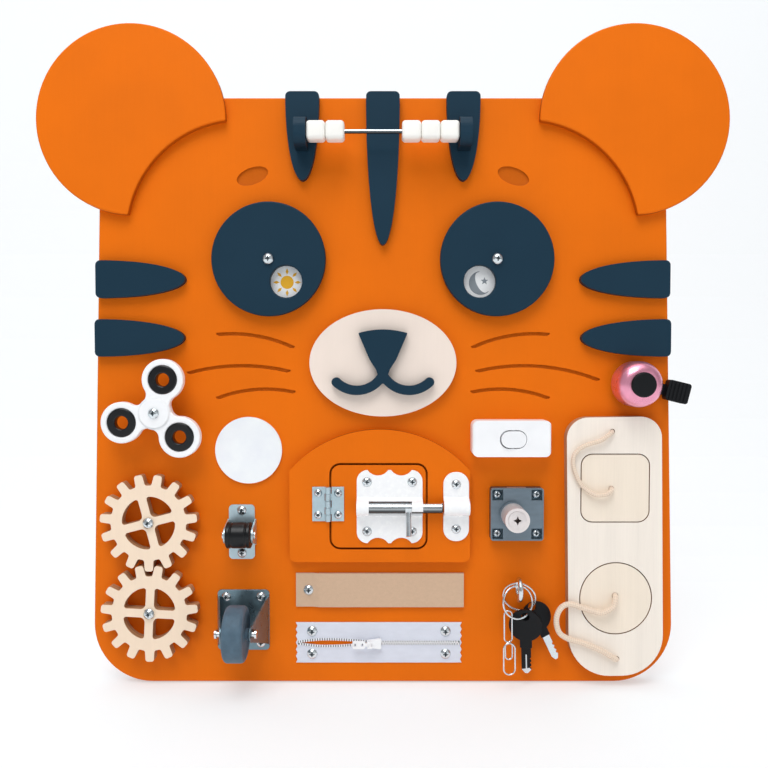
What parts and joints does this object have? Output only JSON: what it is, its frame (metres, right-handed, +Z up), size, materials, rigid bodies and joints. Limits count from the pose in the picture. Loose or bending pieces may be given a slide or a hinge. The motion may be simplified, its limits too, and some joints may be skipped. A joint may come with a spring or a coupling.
{
  "type": "busy board",
  "caption": "Upright wooden activity board in the shape of a tiger's face, with gears, wheels, a bolted door, a zip, a lock, keys, a bell and shape insets.",
  "frame": {"origin": "centre between the two hanging holes, on the board's back face", "axes": "+Y into the wall, so the painted face looks along -Y; +Z up; +X to the viewer's right"},
  "size_m": [0.5008, 0.0625, 0.4814],
  "materials": {
    "painted_orange": "satin",
    "painted_navy": "satin",
    "painted_cream": "satin",
    "birch": "satin",
    "bead_white": "satin",
    "card": "satin",
    "zinc_plate": "satin",
    "bright_steel": "polished",
    "white_enamel": "gloss",
    "white_plastic": "gloss",
    "acrylic_mirror": "polished",
    "black_plastic": "satin",
    "bearing_black": "satin",
    "grey_rubber": "satin",
    "tan_tape": "matte",
    "white_tape": "matte",
    "cotton_cord": "matte",
    "pink_aluminium": "polished"
  },
  "bodies": {
    "board_assembly": {"board": "painted_orange", "ears": "painted_orange", "stripes": "painted_navy", "muzzle": "painted_cream", "nose_and_smile": "painted_navy", "abacus_brackets": "painted_navy", "abacus_rod": "bright_steel", "picture_cards": "card", "mirror_disc": "acrylic_mirror", "roller_bracket": "zinc_plate", "caster_bracket": "zinc_plate", "axle_pins": "bright_steel", "door_frame": "painted_orange", "hinge_leaf_frame": "zinc_plate", "bolt_keeper": "white_enamel", "hook_tape": "tan_tape", "zip_tapes": "white_tape", "switch_housing": "white_plastic", "lock_body": "zinc_plate", "key_hook": "bright_steel", "shape_panel": "birch", "bell_base": "black_plastic", "bell_dome": "pink_aluminium", "bell_cap": "black_plastic", "fasteners": "bright_steel"},
    "bead_1_body": {"bead_1": "bead_white"},
    "bead_2_body": {"bead_2": "bead_white"},
    "bead_3_body": {"bead_3": "bead_white"},
    "bead_4_body": {"bead_4": "bead_white"},
    "bead_5_body": {"bead_5": "bead_white"},
    "left_eye": {"eye_disc_left": "painted_navy"},
    "right_eye": {"eye_disc_right": "painted_navy"},
    "spinner": {"spinner_body": "white_plastic", "spinner_weights": "bearing_black"},
    "upper_gear": {"gear_upper": "birch"},
    "lower_gear": {"gear_lower": "birch"},
    "roller": {"roller_wheel": "black_plastic"},
    "caster": {"caster_wheel": "grey_rubber"},
    "door_body": {"door": "painted_orange", "hinge_leaf_door": "zinc_plate", "bolt_plate": "white_enamel", "door_screws": "bright_steel"},
    "bolt": {"bolt_rod": "bright_steel"},
    "handle": {"bolt_handle": "bright_steel"},
    "strap_body": {"strap": "tan_tape"},
    "slider": {"zip_slider": "white_plastic"},
    "pull": {"zip_pull": "white_plastic"},
    "rocker": {"switch_rocker": "white_plastic"},
    "plug": {"lock_plug": "zinc_plate"},
    "deadbolt": {"lock_deadbolt": "zinc_plate"},
    "lever": {"bell_lever": "black_plastic"},
    "first_ring": {"ring_1": "bright_steel"},
    "second_ring": {"ring_2": "bright_steel"},
    "first_key": {"key_1": "black_plastic"},
    "second_key": {"key_2": "black_plastic"},
    "clip": {"paper_clip": "bright_steel"},
    "square_piece": {"square_inset": "birch", "cord_square": "cotton_cord"},
    "round_piece": {"round_inset": "birch", "cord_round": "cotton_cord"}
  },
  "joints": [
    {"name": "bead_1_slide", "type": "slide", "parent": "board_assembly", "child": "bead_1_body", "axis": [1, 0, 0], "range_m": [0, 0.02]},
    {"name": "bead_2_slide", "type": "slide", "parent": "board_assembly", "child": "bead_2_body", "axis": [1, 0, 0], "range_m": [0, 0.02]},
    {"name": "bead_3_slide", "type": "slide", "parent": "board_assembly", "child": "bead_3_body", "axis": [1, 0, 0], "range_m": [-0.02, 0]},
    {"name": "bead_4_slide", "type": "slide", "parent": "board_assembly", "child": "bead_4_body", "axis": [1, 0, 0], "range_m": [-0.02, 0]},
    {"name": "bead_5_slide", "type": "slide", "parent": "board_assembly", "child": "bead_5_body", "axis": [1, 0, 0], "range_m": [-0.02, 0]},
    {"name": "left_eye_turn", "type": "hinge", "parent": "board_assembly", "child": "left_eye", "pos_m": [-0.0828, -0.017, -0.0526], "axis": [0, -1, 0], "continuous": true},
    {"name": "right_eye_turn", "type": "hinge", "parent": "board_assembly", "child": "right_eye", "pos_m": [0.0828, -0.017, -0.0526], "axis": [0, -1, 0], "continuous": true},
    {"name": "spinner_turn", "type": "hinge", "parent": "board_assembly", "child": "spinner", "pos_m": [-0.163, -0.027, -0.1636], "axis": [0, -1, 0], "continuous": true},
    {"name": "lower_gear_turn", "type": "hinge", "parent": "board_assembly", "child": "lower_gear", "pos_m": [-0.1702, -0.019, -0.3104], "axis": [0, -1, 0], "continuous": true},
    {"name": "upper_gear_turn", "type": "hinge", "parent": "board_assembly", "child": "upper_gear", "pos_m": [-0.1702, -0.019, -0.244], "axis": [0, -1, 0], "continuous": true},
    {"name": "roller_turn", "type": "hinge", "parent": "board_assembly", "child": "roller", "pos_m": [-0.1042, -0.024, -0.2525], "axis": [1, 0, 0], "continuous": true},
    {"name": "caster_turn", "type": "hinge", "parent": "board_assembly", "child": "caster", "pos_m": [-0.1033, -0.043, -0.3182], "axis": [1, 0, 0], "continuous": true},
    {"name": "door_swing", "type": "hinge", "parent": "board_assembly", "child": "door_body", "pos_m": [-0.04, -0.0203, -0.2308], "axis": [0, 0, -1], "range_deg": [0, 110]},
    {"name": "bolt_slide", "type": "slide", "parent": "door_body", "child": "bolt", "axis": [-1, 0, 0], "range_m": [-0.013, 0.02]},
    {"name": "handle_turn", "type": "hinge", "parent": "bolt", "child": "handle", "pos_m": [0.0185, -0.0242, -0.2327], "axis": [-1, 0, 0], "range_deg": [0, 70]},
    {"name": "strap_peel", "type": "hinge", "parent": "board_assembly", "child": "strap_body", "pos_m": [-0.0483, -0.0142, -0.2957], "axis": [0, 0, -1], "range_deg": [0, 110]},
    {"name": "zip_slide", "type": "slide", "parent": "board_assembly", "child": "slider", "axis": [1, 0, 0], "range_m": [-0.045, 0.04]},
    {"name": "pull_swing", "type": "hinge", "parent": "slider", "child": "pull", "pos_m": [-0.0096, -0.0179, -0.3353], "axis": [0, 0, 1], "range_deg": [0, 120]},
    {"name": "switch_rock", "type": "hinge", "parent": "board_assembly", "child": "rocker", "pos_m": [0.094, -0.023, -0.1829], "axis": [0, 0, 1], "range_deg": [-14, 0]},
    {"name": "lock_turn", "type": "hinge", "parent": "board_assembly", "child": "plug", "pos_m": [0.0945, -0.032, -0.2383], "axis": [0, -1, 0], "range_deg": [0, 180]},
    {"name": "deadbolt_slide", "type": "slide", "parent": "board_assembly", "child": "deadbolt", "axis": [0, 0, 1], "range_m": [0, 0.0071]},
    {"name": "lever_press", "type": "hinge", "parent": "board_assembly", "child": "lever", "pos_m": [0.1825, -0.0161, -0.143], "axis": [0, -1, 0], "range_deg": [-25, 0], "stiffness_Nm_per_rad": 0.05, "springref_deg": 5.73},
    {"name": "first_ring_swing", "type": "hinge", "parent": "board_assembly", "child": "first_ring", "pos_m": [0.0992, -0.02179, -0.28847], "axis": [0, -1, 0], "range_deg": [-1, 3]},
    {"name": "second_ring_swing", "type": "hinge", "parent": "board_assembly", "child": "second_ring", "pos_m": [0.0992, -0.0216, -0.29028], "axis": [0, -1, 0], "range_deg": [-8, 3]},
    {"name": "first_key_swing", "type": "hinge", "parent": "second_ring", "child": "first_key", "pos_m": [0.10359, -0.0239, -0.31203], "axis": [0, -1, 0], "range_deg": [-8, 8]},
    {"name": "second_key_swing", "type": "hinge", "parent": "first_ring", "child": "second_key", "pos_m": [0.10932, -0.018, -0.3067], "axis": [0, -1, 0], "range_deg": [-8, 3]},
    {"name": "clip_swing", "type": "hinge", "parent": "second_ring", "child": "clip", "pos_m": [0.09086, -0.02766, -0.31008], "axis": [0, -1, 0], "range_deg": [-12, 1]},
    {"name": "square_lift", "type": "slide", "parent": "board_assembly", "child": "square_piece", "axis": [0, -1, 0], "range_m": [0, 0.025]},
    {"name": "round_lift", "type": "slide", "parent": "board_assembly", "child": "round_piece", "axis": [0, -1, 0], "range_m": [0, 0.025]}
  ],
  "couplings": [
    {"joint": "bead_1_slide", "follows": "bead_2_slide", "ratio": 1},
    {"joint": "bead_4_slide", "follows": "bead_3_slide", "ratio": 1},
    {"joint": "bead_5_slide", "follows": "bead_3_slide", "ratio": 1},
    {"joint": "upper_gear_turn", "follows": "lower_gear_turn", "ratio": -1},
    {"joint": "deadbolt_slide", "follows": "lock_turn", "m_per_rad": 0.0022282}
  ]
}
